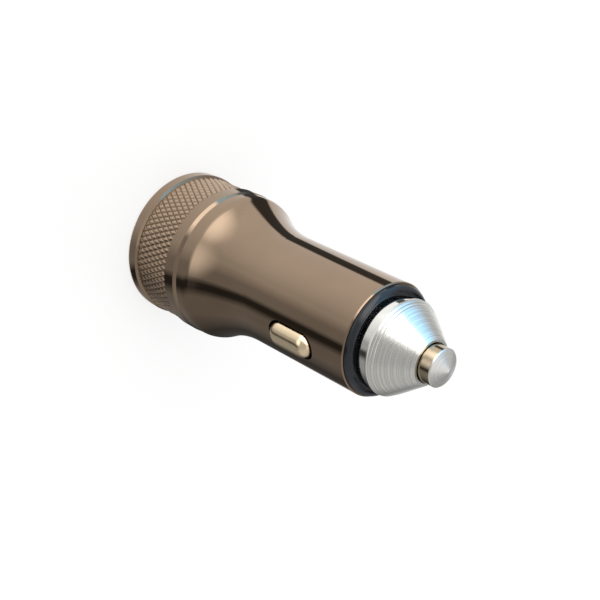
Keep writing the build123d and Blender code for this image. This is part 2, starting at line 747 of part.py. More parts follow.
pieces = {
    "shell": shell(),
    "face_plate": face_plate(),
    "light_pipe": light_pipe(),
    "usb_shell_upper": upper_shell,
    "usb_shell_lower": opposite(upper_shell),
    "usb_tongue_upper": upper_tongue,
    "usb_tongue_lower": opposite(upper_tongue),
    "usb_contacts_upper": upper_contacts,
    "usb_contacts_lower": opposite(upper_contacts),
    "circuit_board": circuit_board(),
    "choke_core": choke_core(),
    "choke_winding": choke_winding(),
    "input_capacitor": input_can_place() * can(INPUT_CAN_LENGTH),
    "output_capacitor": output_can_place() * can(OUTPUT_CAN_LENGTH),
    "capacitor_leads": capacitor_leads(),
    "converter_chip": chip(CONVERTER_SIZE, 0, choke_z),
    "converter_chip_pins": converter_chip_pins(),
    "port_chips": Compound([chip(PORT_CHIP_SIZE, x, z) for x, z in port_chip_places()]),
    "port_chip_pins": port_chip_pins(),
    "catch_diode": catch_diode(),
    "board_fuse": board_fuse(),
    "chip_resistors": chip_resistors(),
    "chip_capacitors": chip_capacitors(),
    "power_led": power_led(),
    "ground_contact_right": right_contact,
    "ground_contact_left": opposite(right_contact),
    "ground_spring_right": right_spring,
    "ground_spring_left": opposite(right_spring),
    "nose_insulator": nose_insulator(),
    "nose_cone": nose_cone(),
    "tip_contact": tip_contact(),
    "tip_spring": tip_spring(),
    "tip_terminal": tip_terminal(),
}

os.makedirs("parts", exist_ok=True)
for node, piece in pieces.items():
    export_step(piece, f"parts/{node}.step")
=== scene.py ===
import math

import bmesh
import bpy
from bpy.props import FloatProperty, FloatVectorProperty, IntProperty, PointerProperty
from bpy.types import NodeSocket, Operator, Panel, PropertyGroup
from mathutils import Matrix, Vector


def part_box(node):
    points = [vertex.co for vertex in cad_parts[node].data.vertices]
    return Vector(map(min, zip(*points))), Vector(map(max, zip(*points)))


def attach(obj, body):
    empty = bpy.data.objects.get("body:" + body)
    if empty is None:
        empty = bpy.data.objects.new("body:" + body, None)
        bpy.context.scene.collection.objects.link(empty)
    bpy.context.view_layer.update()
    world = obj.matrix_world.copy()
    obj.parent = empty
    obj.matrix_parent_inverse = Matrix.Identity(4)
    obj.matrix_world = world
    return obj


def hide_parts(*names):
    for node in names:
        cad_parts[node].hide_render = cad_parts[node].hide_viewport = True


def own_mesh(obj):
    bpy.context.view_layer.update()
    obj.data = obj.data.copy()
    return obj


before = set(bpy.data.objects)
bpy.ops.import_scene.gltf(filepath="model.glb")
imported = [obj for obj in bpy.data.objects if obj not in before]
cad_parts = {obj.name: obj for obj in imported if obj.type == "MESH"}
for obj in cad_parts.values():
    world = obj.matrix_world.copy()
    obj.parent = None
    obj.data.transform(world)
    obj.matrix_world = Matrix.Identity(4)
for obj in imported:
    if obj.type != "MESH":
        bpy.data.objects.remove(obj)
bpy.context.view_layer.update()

bl_info = {
    "name": "Car charger plug",
    "version": (1, 0, 0),
    "blender": (4, 5, 0),
    "location": "3D View > Sidebar > Charger",
    "description": "Knurl, springs, finishes and studio for a turned car charger plug",
    "category": "Object",
}

MM = 0.001

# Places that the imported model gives
COIL_LOW, COIL_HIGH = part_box("tip_spring")
LEAF_LOW, LEAF_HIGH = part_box("ground_spring_right")
PIN_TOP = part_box("tip_contact")[1][2]
NOSE_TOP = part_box("nose_cone")[1][2]

# Heights and radii in millimetres at which a finish, its painted shade or its painted highlight changes
CONE_LENGTH = 6.79  # from the nose's mouth down to the flange under its cone
PIN_CONE = 1.45  # from the pin's point down to the edge of its cone
BORE_SHADE_EDGE = (9.9, 10.15)  # painted shade: from the darkened, dull bore to the polished outside
KNURL_SHADE_TO_HIGHLIGHT = (13.53, 13.72)  # from the painted shade in the knurl's cuts to the painted highlight on its crowns

WHITE = (1.0, 1.0, 1.0, 1.0)


# Sizes and colours that a user would change

def length(name, description, millimetres):
    """A length that the sidebar shows in the scene's unit."""
    return FloatProperty(
        name=name, description=description, default=millimetres * MM, min=0.0, precision=5, unit="LENGTH"
    )


def colour(name, description, red, green, blue):
    """A base colour, in linear light."""
    return FloatVectorProperty(
        name=name,
        description=description,
        default=(red, green, blue),
        min=0.0,
        max=1.0,
        size=3,
        subtype="COLOR",
    )


def turn(name, description, degrees):
    """An angle that the sidebar shows in degrees."""
    return FloatProperty(name=name, description=description, default=math.radians(degrees), subtype="ANGLE")


def level(name, description, value):
    """A plain number from nought up."""
    return FloatProperty(name=name, description=description, default=value, min=0.0)


class KnurlSizes(PropertyGroup):
    """Diamond knurl on the head's grip band."""

    count: IntProperty(name="Diamonds round", description="Diamonds in one row", default=74, min=12)
    rows: IntProperty(name="Rows", description="Rows of whole diamonds across the band", default=4, min=2)
    start: length("Start", "Height of the band's rear edge over the rim plane", 2.5)
    end: length("End", "Height of the band's front edge over the rim plane", 11.3)
    root_radius: length("Root radius", "Radius at the bottom of the cuts", 13.52)
    depth: length("Depth", "Height of the diamonds over the cuts", 0.22)
    flank: length("Flank", "Width of a diamond's sloping side, seen from above", 0.25)
    crown: length("Crown", "Width of the worn edge round a diamond's flat top", 0.1)
    back: length("Back", "How far the band's back lies under the cuts", 0.07)


class SpringSizes(PropertyGroup):
    """Coil under the centre pin and leaves behind the side contacts."""

    wire: length("Wire radius", "Radius of the coil's wire", 0.3)
    coil_turns: level("Turns", "Turns of the coil", 5.5)
    leaf_sheet: length("Leaf sheet", "Thickness of a leaf spring", 0.3)
    leaf_foot: length("Leaf foot", "Length of a leaf's flat foot", 1.4)
    pin_travel: length("Pin travel", "How far the centre pin goes in", 2.0)
    contact_travel: length("Contact travel", "How far a side contact goes in", 1.3)


class FinishColours(PropertyGroup):
    """Base colours of the finishes."""

    gunmetal: colour("Gunmetal", "Polished plating on the shell", 0.34, 0.247, 0.172)
    # The knurl pit colour is painted shade: the plating darkened low in the knurl's cuts.
    knurl_pit_shade: colour("Knurl pit", "Plating low in the knurl's cuts", 0.30, 0.225, 0.165)
    aluminium: colour("Aluminium", "Turned nose", 0.86, 0.85, 0.80)
    nickel: colour("Nickel", "Side of the centre pin", 0.50, 0.41, 0.285)
    contact: colour("Contact", "Pressed side contacts", 1.0, 0.81, 0.55)
    insulator: colour("Insulator", "Glossy black bead behind the nose", 0.010, 0.012, 0.016)
    plastic: colour("Face plastic", "Moulded plate round the sockets", 0.014, 0.014, 0.015)
    socket: colour("Socket steel", "Folded shells of the sockets", 0.66, 0.65, 0.62)
    tongue: colour("Tongue plastic", "Moulded tongues in the sockets", 0.80, 0.79, 0.75)
    gold: colour("Gold plate", "Strips on the tongues", 0.90, 0.66, 0.28)
    board: colour("Board", "Lacquer on the circuit board", 0.015, 0.085, 0.035)
    copper: colour("Copper", "Choke winding", 0.72, 0.30, 0.14)
    steel: colour("Spring steel", "Coil and leaf springs", 0.58, 0.55, 0.50)


class StageSizes(PropertyGroup):
    """Camera, floor and lamps."""

    azimuth: turn("Azimuth", "Camera's turn round the plug, from the -Y side", 45.0)
    elevation: turn("Elevation", "Camera's height over the floor", 40.91)
    roll: turn("Roll", "Camera's turn about its own line of sight", 116.5)
    distance: length("Distance", "Camera to the point it looks at", 217.0)
    aim: length("Aim", "Height of the point that the camera looks at", 32.98)
    aside: length("Aside", "How far that point lies behind the axis", 0.57)
    lens: level("Lens", "Focal length in millimetres on a 36 mm frame", 72.47)
    floor: length("Floor", "Side of the square floor", 3000.0)
    sky: level("Sky", "Strength of the plain light from above", 0.95)


# Mesh tools

def start_clean():
    """Leaves nothing selected, because every operator acts on the selection."""
    if bpy.context.object is not None and bpy.context.object.mode != "OBJECT":
        bpy.ops.object.mode_set(mode="OBJECT")
    bpy.ops.object.select_all(action="DESELECT")


def open_piece(name):
    """Names the primitive that was just added, puts its place in its mesh and opens it for editing."""
    piece = bpy.context.object
    piece.name = name
    piece.data.name = name
    bpy.ops.object.transform_apply(location=True, rotation=True, scale=True)
    bpy.ops.object.mode_set(mode="EDIT")
    return piece


def pick(piece, kind, test):
    """In edit mode, selects only the verts, edges or faces that pass a test."""
    modes = {"verts": "VERT", "edges": "EDGE", "faces": "FACE"}
    bpy.ops.mesh.select_mode(type=modes[kind])
    bpy.ops.mesh.select_all(action="DESELECT")
    mesh = bmesh.from_edit_mesh(piece.data)
    chosen = [item for item in getattr(mesh, kind) if test(item)]
    if not chosen:
        raise RuntimeError(f"{piece.name}: nothing to pick among its {kind}")
    for item in chosen:
        item.select_set(True)
    bmesh.update_edit_mesh(piece.data)


def close_piece(piece, body, material):
    """Merges seams, turns the faces outwards and hands the piece to a body with its finish."""
    bpy.ops.object.mode_set(mode="EDIT")
    bpy.ops.mesh.select_all(action="SELECT")
    bpy.ops.mesh.remove_doubles(threshold=0.001 * MM)
    bpy.ops.mesh.normals_make_consistent(inside=False)
    bpy.ops.object.mode_set(mode="OBJECT")
    piece.data.materials.clear()
    piece.data.materials.append(material)
    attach(piece, body)


def apply_modifier(piece, kind, **settings):
    """Adds a modifier with its settings and applies it."""
    modifier = piece.modifiers.new(kind.lower(), kind)
    for name, value in settings.items():
        setattr(modifier, name, value)
    bpy.context.view_layer.objects.active = piece
    bpy.ops.object.modifier_apply(modifier=modifier.name)


def ring_on(radius, was, rise):
    """Extrudes the selected ring upwards and sets it to a new radius."""
    bpy.ops.mesh.extrude_region_move(TRANSFORM_OT_translate={"value": (0.0, 0.0, rise)})
    scale = radius / was
    bpy.ops.transform.resize(value=(scale, scale, 1.0), center_override=(0.0, 0.0, 0.0))


# Shader tools

def node(tree, kind, inputs=None, **settings):
    """Adds a node, sets its properties, and fills its inputs with values or links."""
    made = tree.nodes.new(kind)
    for name, value in settings.items():
        setattr(made, name, value)
    for socket, value in (inputs or {}).items():
        if isinstance(value, NodeSocket):
            tree.links.new(value, made.inputs[socket])
        else:
            made.inputs[socket].default_value = value
    return made


def maths(tree, operation, first, second=0.0):
    """One sum on two numbers."""
    return node(tree, "ShaderNodeMath", {0: first, 1: second}, operation=operation).outputs[0]


def spread(tree, value, low, high, to_low=0.0, to_high=1.0, smooth=False):
    """Maps a value from one range to another, held at its ends."""
    made = node(
        tree,
        "ShaderNodeMapRange",
        {"Value": value, "From Min": low, "From Max": high, "To Min": to_low, "To Max": to_high},
        interpolation_type="SMOOTHSTEP" if smooth else "LINEAR",
    )
    return made.outputs["Result"]


def mixed(tree, factor, first, second):
    """Mix of two colours."""
    made = node(tree, "ShaderNodeMix", {"Factor": factor}, data_type="RGBA")
    for place, value in ((6, first), (7, second)):
        if isinstance(value, NodeSocket):
            tree.links.new(value, made.inputs[place])
        else:
            made.inputs[place].default_value = (*value, 1.0)
    return made.outputs[2]


def object_place(tree):
    """The point's place on the object, in millimetres."""
    place = node(tree, "ShaderNodeTexCoord").outputs["Object"]
    return node(tree, "ShaderNodeVectorMath", {0: place, "Scale": 1.0 / MM}, operation="SCALE").outputs[0]


def axis_parts(tree, place):
    """The radius from the plug's axis and the height along it, in millimetres."""
    parts = node(tree, "ShaderNodeSeparateXYZ", {0: place}).outputs
    flat = node(tree, "ShaderNodeCombineXYZ", {"X": parts["X"], "Y": parts["Y"]}).outputs[0]
    radius = node(tree, "ShaderNodeVectorMath", {0: flat}, operation="LENGTH").outputs["Value"]
    return radius, parts["Z"]


def group(name, inputs, outputs):
    """An empty shader group with its sockets, its tree and its two end nodes."""
    tree = bpy.data.node_groups.new(name, "ShaderNodeTree")
    for socket, value in inputs.items():
        tree.interface.new_socket(socket, in_out="INPUT", socket_type="NodeSocketFloat").default_value = value
    for socket in outputs:
        tree.interface.new_socket(socket, in_out="OUTPUT", socket_type="NodeSocketFloat")
    return tree, tree.nodes.new("NodeGroupInput").outputs, tree.nodes.new("NodeGroupOutput").inputs


def give(tree, value, socket):
    """Links a group's result to its output."""
    tree.links.new(value, socket)


def turning_marks():
    """Fine rings that a lathe leaves, along the height or, with lean, across a flat face."""
    name = "turning marks"
    if name in bpy.data.node_groups:
        return bpy.data.node_groups[name]
    tree, inputs, outputs = group(name, {"Spacing": 0.1, "Lean": 0.0, "Wander": 0.3}, ("Height", "Bands"))
    place = object_place(tree)
    radius, height = axis_parts(tree, place)
    along = maths(tree, "ADD", height, maths(tree, "MULTIPLY", radius, inputs["Lean"]))
    wander = node(tree, "ShaderNodeTexNoise", {"Vector": place, "Scale": 0.6, "Detail": 1.0}).outputs["Fac"]
    steps = maths(tree, "DIVIDE", along, inputs["Spacing"])
    steps = maths(tree, "ADD", steps, maths(tree, "MULTIPLY", wander, inputs["Wander"]))
    fine = node(
        tree,
        "ShaderNodeTexNoise",
        {"W": steps, "Scale": 1.0, "Detail": 2.0, "Roughness": 0.6},
        noise_dimensions="1D",
    ).outputs["Fac"]
    broad = node(
        tree, "ShaderNodeTexNoise", {"W": steps, "Scale": 0.16, "Detail": 1.0}, noise_dimensions="1D"
    ).outputs["Fac"]
    give(tree, fine, outputs["Height"])
    give(tree, spread(tree, broad, 0.35, 0.65, smooth=True), outputs["Bands"])
    return tree


def polishing_lines():
    """Hair lines that polishing leaves along the plug, and where they lie thick."""
    name = "polishing lines"
    if name in bpy.data.node_groups:
        return bpy.data.node_groups[name]
    tree, inputs, outputs = group(name, {"Spacing": 0.12, "Stretch": 60.0}, ("Height", "Mask"))
    place = object_place(tree)
    parts = node(tree, "ShaderNodeSeparateXYZ", {0: place}).outputs
    height = maths(tree, "DIVIDE", parts["Z"], inputs["Stretch"])
    drawn = node(tree, "ShaderNodeCombineXYZ", {"X": parts["X"], "Y": parts["Y"], "Z": height}).outputs[0]
    scale = maths(tree, "DIVIDE", 1.0, inputs["Spacing"])
    lines = node(
        tree, "ShaderNodeTexNoise", {"Vector": drawn, "Scale": scale, "Detail": 2.0, "Roughness": 0.55}
    ).outputs["Fac"]
    give(tree, lines, outputs["Height"])
    give(tree, spread(tree, lines, 0.56, 0.72, smooth=True), outputs["Mask"])
    return tree


def tone_drift():
    """Slow cloudy change over a surface, for colour and gloss."""
    name = "tone drift"
    if name in bpy.data.node_groups:
        return bpy.data.node_groups[name]
    tree, inputs, outputs = group(name, {"Size": 6.0, "Seed": 0.0}, ("Cloud", "Specks"))
    place = object_place(tree)
    scale = maths(tree, "DIVIDE", 1.0, inputs["Size"])
    cloud = node(
        tree,
        "ShaderNodeTexNoise",
        {"Vector": place, "W": inputs["Seed"], "Scale": scale, "Detail": 3.0, "Roughness": 0.5},
        noise_dimensions="4D",
    ).outputs["Fac"]
    specks = node(
        tree,
        "ShaderNodeTexNoise",
        {"Vector": place, "W": inputs["Seed"], "Scale": 9.0, "Detail": 2.0, "Roughness": 0.7},
        noise_dimensions="4D",
    ).outputs["Fac"]
    give(tree, spread(tree, cloud, 0.3, 0.7, smooth=True), outputs["Cloud"])
    give(tree, spread(tree, specks, 0.62, 0.75, smooth=True), outputs["Specks"])
    return tree


def moulded_grain():
    """Fine even grain of a spark-eroded mould."""
    name = "moulded grain"
    if name in bpy.data.node_groups:
        return bpy.data.node_groups[name]
    tree, inputs, outputs = group(name, {"Size": 0.12}, ("Height", "Valley"))
    place = object_place(tree)
    scale = maths(tree, "DIVIDE", 1.0, inputs["Size"])
    cells = node(tree, "ShaderNodeTexVoronoi", {"Vector": place, "Scale": scale}).outputs["Distance"]
    cloud = node(tree, "ShaderNodeTexNoise", {"Vector": place, "Scale": scale, "Detail": 2.0}).outputs["Fac"]
    grain = maths(tree, "ADD", maths(tree, "MULTIPLY", cells, 0.6), maths(tree, "MULTIPLY", cloud, 0.4))
    give(tree, grain, outputs["Height"])
    give(tree, spread(tree, grain, 0.35, 0.6, smooth=True), outputs["Valley"])
    return tree


def use(tree, made, **values):
    """Places a group in a material with its own values."""
    placed = tree.nodes.new("ShaderNodeGroup")
    placed.node_tree = made
    for name, value in values.items():
        placed.inputs[name].default_value = value
    return placed.outputs


def bumped(tree, height, distance):
    """Normal that a height in the surface gives; the distance is in millimetres."""
    sockets = {"Height": height, "Distance": distance * MM, "Strength": 1.0}
    return node(tree, "ShaderNodeBump", sockets).outputs["Normal"]


def finish(name):
    """A new material, its tree and its main shader."""
    material = bpy.data.materials.new(name)
    material.use_nodes = True
    tree = material.node_tree
    return material, tree, tree.nodes["Principled BSDF"]


def feed(tree, shader, **sockets):
    """Fills the main shader's sockets with links or constants."""
    for name, value in sockets.items():
        socket = shader.inputs[name.replace("_", " ")]
        if isinstance(value, NodeSocket):
            tree.links.new(value, socket)
        elif isinstance(value, tuple):
            socket.default_value = (*value, 1.0)
        else:
            socket.default_value = value


def shade(colour_value, factor):
    """A colour made lighter or darker."""
    return tuple(min(1.0, part * factor) for part in colour_value)


# Finishes

def gunmetal_finish(colours):
    """Polished gunmetal plating with hair lines along the plug, with painted shade darkening it inside the
    bore, where it is also dull.
    """
    material, tree, shader = finish("gunmetal plating")
    drift = use(tree, tone_drift(), Size=9.0, Seed=1.0)
    lines = use(tree, polishing_lines(), Spacing=0.16, Stretch=90.0)
    base = mixed(tree, drift["Cloud"], shade(colours.gunmetal, 0.96), shade(colours.gunmetal, 1.04))
    rough = spread(tree, drift["Cloud"], 0.0, 1.0, 0.045, 0.07)
    rough = maths(tree, "ADD", rough, maths(tree, "MULTIPLY", lines["Mask"], 0.04))
    radius, _ = axis_parts(tree, object_place(tree))
    clear_of_bore_shade = spread(tree, radius, *BORE_SHADE_EDGE, smooth=True)
    # Painted shade: inside the bore the plating is darkened to 8 percent of its colour.
    base = mixed(tree, clear_of_bore_shade, shade(colours.gunmetal, 0.08), base)
    rough = maths(tree, "ADD", rough, spread(tree, clear_of_bore_shade, 0.0, 1.0, 0.5, 0.0))
    normal = bumped(tree, lines["Height"], 0.0012)
    feed(tree, shader, Base_Color=base, Metallic=1.0, Roughness=rough, Normal=normal)
    return material


def knurl_finish(colours):
    """The same plating on the knurl, with painted shade darkening the cuts and a painted highlight lightening
    the crowns.
    """
    material, tree, shader = finish("knurled plating")
    drift = use(tree, tone_drift(), Size=5.0, Seed=2.0)
    radius, _ = axis_parts(tree, object_place(tree))
    # Painted shade and highlight: the cuts take the darker pit colour, and the crowns take half again the
    # plating's colour.
    crown = spread(tree, radius, *KNURL_SHADE_TO_HIGHLIGHT, smooth=True)
    base = mixed(tree, crown, tuple(colours.knurl_pit_shade), shade(colours.gunmetal, 1.5))
    rough = spread(tree, crown, 0.0, 1.0, 0.5, 0.2)
    rough = maths(tree, "ADD", rough, maths(tree, "MULTIPLY", drift["Specks"], 0.08))
    feed(tree, shader, Base_Color=base, Metallic=1.0, Roughness=rough)
    return material


def aluminium_finish(colours):
    """Bright turned aluminium: rings on the cone that follow the lathe, and a polished collar under it."""
    material, tree, shader = finish("turned aluminium")
    collar_top = NOSE_TOP / MM - CONE_LENGTH
    drift = use(tree, tone_drift(), Size=4.0, Seed=3.0)
    marks = use(tree, turning_marks(), Spacing=0.055, Lean=-0.35, Wander=0.25)
    _, height = axis_parts(tree, object_place(tree))
    cone = spread(tree, height, collar_top - 0.05, collar_top + 0.05)
    base = mixed(tree, marks["Bands"], shade(colours.aluminium, 0.78), tuple(colours.aluminium))
    base = mixed(tree, cone, tuple(colours.aluminium), base)
    rough = spread(tree, marks["Bands"], 0.0, 1.0, 0.19, 0.1)
    rough = maths(tree, "ADD", rough, maths(tree, "MULTIPLY", drift["Cloud"], 0.04))
    rough = maths(tree, "ADD", 0.05, maths(tree, "MULTIPLY", rough, cone))
    normal = bumped(tree, maths(tree, "MULTIPLY", marks["Height"], cone), 0.007)
    feed(tree, shader, Base_Color=base, Metallic=1.0, Roughness=rough, Normal=normal)
    return material


def pin_finish(colours):
    """Nickelled pin: smooth warm side and a satin turned cone."""
    material, tree, shader = finish("pin nickel")
    shoulder = PIN_TOP / MM - PIN_CONE
    _, height = axis_parts(tree, object_place(tree))
    cone = spread(tree, height, shoulder - 0.25, shoulder - 0.1, smooth=True)
    marks = use(tree, turning_marks(), Spacing=0.09, Lean=-1.6, Wander=0.15)
    drift = use(tree, tone_drift(), Size=2.5, Seed=4.0)
    bright = mixed(tree, marks["Bands"], (0.74, 0.73, 0.70), (0.84, 0.83, 0.80))
    side = mixed(tree, drift["Cloud"], shade(colours.nickel, 0.92), tuple(colours.nickel))
    base = mixed(tree, cone, side, bright)
    rough = spread(tree, cone, 0.0, 1.0, 0.12, 0.3)
    normal = bumped(tree, maths(tree, "MULTIPLY", marks["Height"], cone), 0.006)
    feed(tree, shader, Base_Color=base, Metallic=1.0, Roughness=rough, Normal=normal)
    return material


def contact_finish(colours):
    """Pressed and burnished contact plating with a faint drawing grain."""
    material, tree, shader = finish("contact plating")
    drift = use(tree, tone_drift(), Size=3.0, Seed=5.0)
    lines = use(tree, polishing_lines(), Spacing=0.1, Stretch=40.0)
    base = mixed(tree, drift["Cloud"], shade(colours.contact, 0.93), tuple(colours.contact))
    rough = maths(tree, "ADD", 0.19, maths(tree, "MULTIPLY", lines["Mask"], 0.07))
    normal = bumped(tree, lines["Height"], 0.0015)
    feed(tree, shader, Base_Color=base, Metallic=1.0, Roughness=rough, Normal=normal)
    return material


def insulator_finish(colours):
    """Glossy black moulding with a faint flow of tone."""
    material, tree, shader = finish("black gloss")
    drift = use(tree, tone_drift(), Size=3.0, Seed=6.0)
    base = mixed(tree, drift["Cloud"], shade(colours.insulator, 0.8), shade(colours.insulator, 1.3))
    rough = spread(tree, drift["Cloud"], 0.0, 1.0, 0.09, 0.14)
    feed(tree, shader, Base_Color=base, Roughness=rough, IOR=1.52)
    return material


def plastic_finish(name, base_colour, rough_low, rough_high, grain_size, grain_depth, seed):
    """Moulded plastic with the mould's grain and a slow drift of gloss."""
    material, tree, shader = finish(name)
    drift = use(tree, tone_drift(), Size=4.0, Seed=seed)
    grain = use(tree, moulded_grain(), Size=grain_size)
    base = mixed(tree, drift["Cloud"], shade(base_colour, 0.9), shade(base_colour, 1.1))
    rough = spread(tree, grain["Valley"], 0.0, 1.0, rough_low, rough_high)
    normal = bumped(tree, grain["Height"], grain_depth)
    feed(tree, shader, Base_Color=base, Roughness=rough, Normal=normal)
    return material


def sheet_finish(name, base_colour, rough, seed):
    """Plated or bare sheet metal with fine rolling lines and dull specks."""
    material, tree, shader = finish(name)
    drift = use(tree, tone_drift(), Size=2.5, Seed=seed)
    lines = use(tree, polishing_lines(), Spacing=0.06, Stretch=25.0)
    base = mixed(tree, drift["Cloud"], shade(base_colour, 0.9), tuple(base_colour))
    dull = maths(tree, "ADD", rough, maths(tree, "MULTIPLY", drift["Specks"], 0.15))
    dull = maths(tree, "ADD", dull, maths(tree, "MULTIPLY", lines["Mask"], 0.06))
    normal = bumped(tree, lines["Height"], 0.001)
    feed(tree, shader, Base_Color=base, Metallic=1.0, Roughness=dull, Normal=normal)
    return material


def board_finish(colours):
    """Green lacquer over a woven laminate, with darker tracks."""
    material, tree, shader = finish("board lacquer")
    place = object_place(tree)
    weave = node(tree, "ShaderNodeTexChecker", {"Vector": place, "Scale": 5.0}).outputs["Fac"]
    cells = node(
        tree, "ShaderNodeTexBrick", {"Vector": place, "Scale": 0.45, "Mortar Size": 0.06}
    ).outputs["Fac"]
    drift = use(tree, tone_drift(), Size=3.0, Seed=7.0)
    lacquer = mixed(tree, drift["Cloud"], shade(colours.board, 0.85), shade(colours.board, 1.15))
    tracks = mixed(tree, cells, lacquer, shade(colours.board, 2.0))
    base = mixed(tree, maths(tree, "MULTIPLY", weave, 0.08), tracks, shade(colours.board, 3.0))
    rough = spread(tree, drift["Cloud"], 0.0, 1.0, 0.22, 0.34)
    normal = bumped(tree, cells, 0.02)
    feed(tree, shader, Base_Color=base, Roughness=rough, Normal=normal)
    return material


def clear_finish():
    """Clear light pipe, faintly clouded inside."""
    material, tree, shader = finish("clear acrylic")
    drift = use(tree, tone_drift(), Size=1.5, Seed=8.0)
    base = mixed(tree, drift["Cloud"], (0.86, 0.9, 0.92), (0.97, 0.98, 0.98))
    rough = spread(tree, drift["Cloud"], 0.0, 1.0, 0.08, 0.16)
    feed(tree, shader, Base_Color=base, Roughness=rough, Transmission_Weight=0.9, IOR=1.49)
    return material


def dress(material, *nodes):
    """Gives CAD nodes a finish, leaving their meshes as they are."""
    for name in nodes:
        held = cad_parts[name]
        if not held.material_slots:
            held.data.materials.append(material)
        for slot in held.material_slots:
            slot.material = material


# Pieces

class CHARGER_OT_knurl_band(Operator):
    """Cuts the diamond knurl on the head's grip band"""

    bl_idname = "charger.knurl_band"
    bl_label = "Knurl band"

    def execute(self, context):
        sizes = context.scene.charger_knurl
        rise = (sizes.end - sizes.start) / sizes.rows
        start_clean()
        bpy.ops.mesh.primitive_circle_add(
            vertices=sizes.count, radius=sizes.root_radius, location=(0.0, 0.0, sizes.start)
        )
        band = open_piece("knurl_band")
        bpy.ops.mesh.select_all(action="SELECT")
        for _ in range(sizes.rows):
            ring_on(sizes.root_radius, sizes.root_radius, rise)
        bpy.ops.mesh.select_all(action="SELECT")
        bpy.ops.mesh.normals_make_consistent(inside=False)
        bpy.ops.mesh.poke()
        self.join_to_diamonds(band, rise)
        self.raise_diamonds(band, sizes)
        self.close_back(band, sizes)
        close_piece(band, "root", knurl_finish(context.scene.charger_colours))
        return {"FINISHED"}

    @staticmethod
    def join_to_diamonds(band, rise):
        """Takes out the square cells' own edges, so that two triangles become one diamond."""

        def on_cell(edge):
            run = edge.verts[1].co - edge.verts[0].co
            flat = math.hypot(run.x, run.y)
            along = flat < 0.01 * rise and abs(run.z) > 0.5 * rise
            around = abs(run.z) < 0.01 * rise
            return not edge.is_boundary and (along or around)

        pick(band, "edges", on_cell)
        bpy.ops.mesh.dissolve_edges(use_verts=False)

    @staticmethod
    def raise_diamonds(band, sizes):
        """Raises a pyramid on each diamond and a lower one on each half diamond at the band's edges."""
        for corners, share in ((4, 1.0), (3, 0.5)):
            pick(band, "faces", lambda face: len(face.verts) == corners)
            bpy.ops.mesh.inset(use_individual=True, thickness=sizes.flank * share, depth=sizes.depth * share)
            bpy.ops.mesh.inset(
                use_individual=True, thickness=sizes.crown * share, depth=0.4 * sizes.crown * share
            )

    @staticmethod
    def close_back(band, sizes):
        """Turns both edges in under the cuts and joins them, so that the band is a closed ring."""
        pick(band, "edges", lambda edge: edge.is_boundary)
        bpy.ops.mesh.extrude_region_move()
        scale = (sizes.root_radius - sizes.back) / sizes.root_radius
        bpy.ops.transform.resize(value=(scale, scale, 1.0), center_override=(0.0, 0.0, 0.0))
        bpy.ops.mesh.bridge_edge_loops()


class CHARGER_OT_pin_spring(Operator):
    """Winds the coil spring under the centre pin"""

    bl_idname = "charger.pin_spring"
    bl_label = "Pin spring"

    def execute(self, context):
        sizes = context.scene.charger_springs
        radius = COIL_HIGH[0] - sizes.wire
        seat = COIL_LOW[2] + sizes.wire
        height = COIL_HIGH[2] - sizes.wire - seat
        start_clean()
        bpy.ops.mesh.primitive_circle_add(
            vertices=12, radius=sizes.wire, location=(radius, 0.0, seat), rotation=(math.pi / 2, 0.0, 0.0)
        )
        coil = open_piece("pin_spring")
        bpy.ops.object.mode_set(mode="OBJECT")
        apply_modifier(
            coil,
            "SCREW",
            axis="Z",
            angle=2 * math.pi * sizes.coil_turns,
            screw_offset=height,
            steps=round(40 * sizes.coil_turns),
            render_steps=round(40 * sizes.coil_turns),
        )
        bpy.ops.object.mode_set(mode="EDIT")
        pick(coil, "edges", lambda edge: edge.is_boundary)
        bpy.ops.mesh.edge_face_add()
        steel = sheet_finish("spring wire", context.scene.charger_colours.steel, 0.22, 9.0)
        close_piece(coil, "root", steel)
        bpy.ops.object.shade_smooth_by_angle(angle=math.radians(50.0))
        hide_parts("tip_spring")
        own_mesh(coil)
        return {"FINISHED"}


